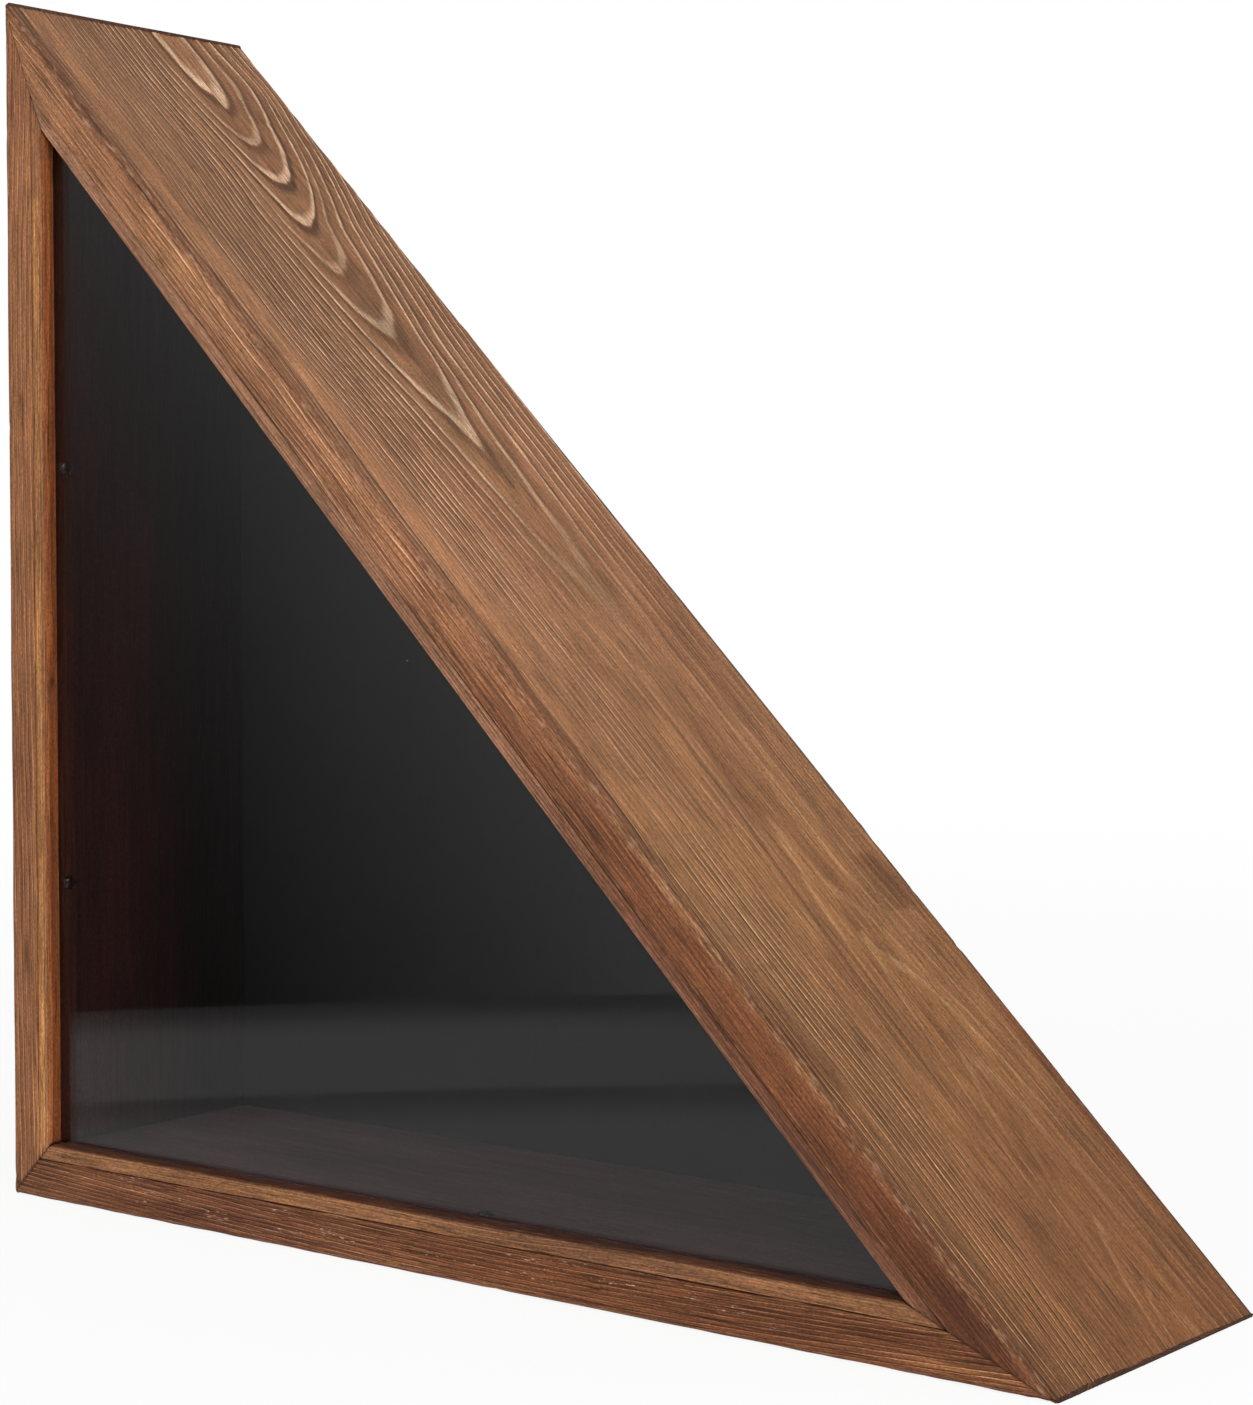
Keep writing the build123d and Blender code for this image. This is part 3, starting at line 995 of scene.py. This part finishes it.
def felt_rings(shape, front, back):
    """The middle of the face, rings out to its soft edge and round it, and the back's middle."""
    edge = []
    for i, a in enumerate(shape):
        b = shape[(i + 1) % len(shape)]
        pieces = max(2, round(np.linalg.norm(b - a) / FELT_STEP))
        edge += [a + (b - a) * k / pieces for k in range(pieces)]
    edge = np.array(edge)
    centre = shape.mean(axis=0)
    out = edge - centre
    inward = -out / np.linalg.norm(out, axis=1)[:, None]
    middle = centre[None, :]
    rings = [at_depth(middle, front)]
    rings += [at_depth(centre + out * t, front) for t in np.linspace(0, 1, FELT_RINGS)[1:-1]]
    rings.append(at_depth(edge + inward * SOFT_IN, front))
    rings += [at_depth(edge, front + SOFT_BACK), at_depth(edge, back), at_depth(middle, back)]
    return rings


def ring_faces(count, n):
    """Faces for so many rings of n points, closed by a fan to a point at each end."""
    ends = [(k, (k + 1) % n) for k in range(n)]
    faces = [(0, 1 + m, 1 + k) for k, m in ends]
    for r in range(count - 1):
        a, b = 1 + r * n, 1 + (r + 1) * n
        faces += [(a + k, a + m, b + m, b + k) for k, m in ends]
    last = 1 + (count - 1) * n
    faces += [(last + n, last + k, last + m) for k, m in ends]
    return faces


def build_felt(shape):
    """The felt as one closed sheet: a faintly wavy front, a soft edge and a flat back."""
    low, high = (np.array(corner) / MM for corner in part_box("felt_lining"))
    front = low[1]
    rings = felt_rings(shape, front, high[1])
    points = np.concatenate(rings)
    wave = field(points[:, 0], points[:, 1], points[:, 2], (14, 14, 14), 81, 2)
    points[:, 1] += np.where(points[:, 1] < front + 0.01, 0.06 + 0.05 * wave, 0)
    points[:, 0] -= HALF
    mesh = bpy.data.meshes.new("felt_face")
    faces = ring_faces(len(rings) - 2, len(rings[1]))
    mesh.from_pydata([tuple(point * MM) for point in points], [], faces)
    mesh.update()
    smooth_outwards(mesh, SHARP_FELT)
    return new_object("felt_face", mesh, felt_material())


felt_shape = felt_corners()
felt = build_felt(felt_shape)
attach(felt, "back")
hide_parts("felt_lining")

# ---------------------------------------------------------------- stage, light and camera

FLOOR_RADIUS, FLOOR_SIDES = 6.0, 96


def floor_material():
    """A floor that mostly gives its own light, so that it is nearly as white as the backdrop,
    with a faint shadow near the object that is gone farther out."""
    t = Tree("pale_floor")
    where = in_frame(t)
    speck = t.noise(t.stretch(where, (60, 60, 60)), detail=2)
    body = t.mix(speck, (0.90, 0.90, 0.90), (0.94, 0.94, 0.94))
    t.put(t.shader.inputs["Base Color"], body)
    t.shader.inputs["Roughness"].default_value = 0.9
    t.shader.inputs["Specular IOR Level"].default_value = 0.1
    length = t.add("ShaderNodeVectorMath", operation="LENGTH")
    t.put(length.inputs[0], where)
    far = t.remap(length.outputs["Value"], 0.15, 1.3, 0.87, 1.0)
    glow = t.add("ShaderNodeEmission")
    glow.inputs["Color"].default_value = (1, 1, 1, 1)
    blend = t.add("ShaderNodeMixShader")
    t.put(blend.inputs[0], far)
    t.links.new(t.shader.outputs[0], blend.inputs[1])
    t.links.new(glow.outputs[0], blend.inputs[2])
    out = t.nodes["Material Output"]
    t.links.new(blend.outputs[0], out.inputs["Surface"])
    return t.material


def build_floor():
    turns = np.linspace(0, 2 * math.pi, FLOOR_SIDES + 1)[:-1]
    points = [(FLOOR_RADIUS * math.cos(a), FLOOR_RADIUS * math.sin(a), 0.0) for a in turns]
    mesh = bpy.data.meshes.new("floor")
    mesh.from_pydata(points, [], [tuple(range(FLOOR_SIDES))])
    return new_object("floor", mesh, floor_material())


floor = build_floor()
# the pane neither mirrors the floor nor shows it from behind
floor.visible_glossy = False
floor.visible_transmission = False

# how bright most of the room is, its dark front left side, and the right end of that side
ROOM_DIM, ROOM_DARK, ROOM_LIT = 0.55, 0.02, 0.30
DARK_SIDE, LIT_END = (-0.66, -0.75, 0), (0.645, -0.540, 0.541)
TABLE_LEAN, LEAN_FROM = -0.018, 0.69  # the table's lines aren't quite level
FAR_EDGE = (-0.1487, -0.1478)
TABLE_SHEEN = 0.04
# going down the table: between which heights of a direction it changes, and by how much
TABLE_STEPS = [
    (*FAR_EDGE, 0.12),  # its far edge
    (-0.1600, -0.1485, 0.22),  # its pale flat top
    (-0.1792, -0.1772, -0.13),  # the shade of a fold
    (-0.1920, -0.1792, 0.17),  # the top again
]


def facing(t, way, axis):
    """How far a direction leans towards an axis."""
    level = t.add("ShaderNodeVectorMath", operation="NORMALIZE")
    t.put(level.inputs[0], way)
    toward = t.add("ShaderNodeVectorMath", operation="DOT_PRODUCT")
    t.put(toward.inputs[0], level.outputs[0])
    toward.inputs[1].default_value = axis
    return toward.outputs["Value"]


def studio():
    """A plain white backdrop. What lights the case and shows in its pane is softer: a dim room
    whose front left side gets darker to the left, over a table with a far edge and a fold."""
    t = Tree("studio", world=True)
    way = t.add("ShaderNodeTexCoord").outputs["Generated"]
    x, _, z = t.split(way)
    side = t.remap(facing(t, t.stretch(way, (1, 1, 0)), DARK_SIDE), 0.45, 0.85)
    lit = t.remap(facing(t, way, LIT_END), -0.190, -0.045, smooth=False)
    lit = t.math("MULTIPLY", lit, lit)
    dark = t.math("ADD", ROOM_DARK, t.math("MULTIPLY", lit, ROOM_LIT - ROOM_DARK))
    lean = t.math("MULTIPLY", t.math("ADD", x, LEAN_FROM), TABLE_LEAN)
    height = t.math("ADD", z, lean)
    table = t.math("MULTIPLY", lit, TABLE_SHEEN)
    for low, high, change in TABLE_STEPS:
        table = t.math("ADD", table, t.remap(height, low, high, change, 0.0))
    above = t.remap(height, *FAR_EDGE)
    dark = t.math("ADD", table, t.math("MULTIPLY", above, t.math("SUBTRACT", dark, table)))
    up = t.remap(z, 0.25, 0.7)
    dark = t.math("ADD", dark, t.math("MULTIPLY", up, ROOM_DIM - ROOM_DARK))
    amount = t.math("ADD", ROOM_DIM, t.math("MULTIPLY", side, t.math("SUBTRACT", dark, ROOM_DIM)))
    t.shader.inputs["Color"].default_value = (1, 1, 1, 1)
    t.put(t.shader.inputs["Strength"], amount)
    backdrop = t.add("ShaderNodeBackground")
    backdrop.inputs["Color"].default_value = (1, 1, 1, 1)
    choose = t.add("ShaderNodeMixShader")
    t.put(choose.inputs[0], t.add("ShaderNodeLightPath").outputs["Is Camera Ray"])
    t.links.new(t.shader.outputs[0], choose.inputs[1])
    t.links.new(backdrop.outputs[0], choose.inputs[2])
    t.links.new(choose.outputs[0], t.nodes["World Output"].inputs["Surface"])
    return t.material


bpy.context.scene.world = studio()


def softbox(name, place, size, power):
    data = bpy.data.lights.new(name, "AREA")
    data.shape = "RECTANGLE"
    data.size, data.size_y = size
    data.energy = power
    obj = bpy.data.objects.new(name, data)
    obj.location = place
    obj.rotation_euler = (LIGHT_TARGET - Vector(place)).to_track_quat("-Z", "Y").to_euler()
    bpy.context.scene.collection.objects.link(obj)


LIGHT_TARGET = Vector((0, 0, 0.12))
softbox("key", (1.5, -1.3, 1.3), (1.4, 1.2), 30)
softbox("fill", (-0.6, -2.2, 0.9), (1.2, 1.0), 12)

camera_data = bpy.data.cameras.new("camera")
camera_data.sensor_width = 36.0
camera_data.lens = 74.70
camera_data.shift_x = 0.0346
camera_data.shift_y = -0.0587
camera_data.clip_start, camera_data.clip_end = 0.01, 50
camera = bpy.data.objects.new("camera", camera_data)
camera.location = (0.42464, -0.51960, 0.15840)
camera.rotation_euler = (math.radians(88.895), math.radians(0.284), math.radians(39.163))
bpy.context.scene.collection.objects.link(camera)
bpy.context.scene.camera = camera
bpy.context.scene.view_settings.view_transform = "Standard"
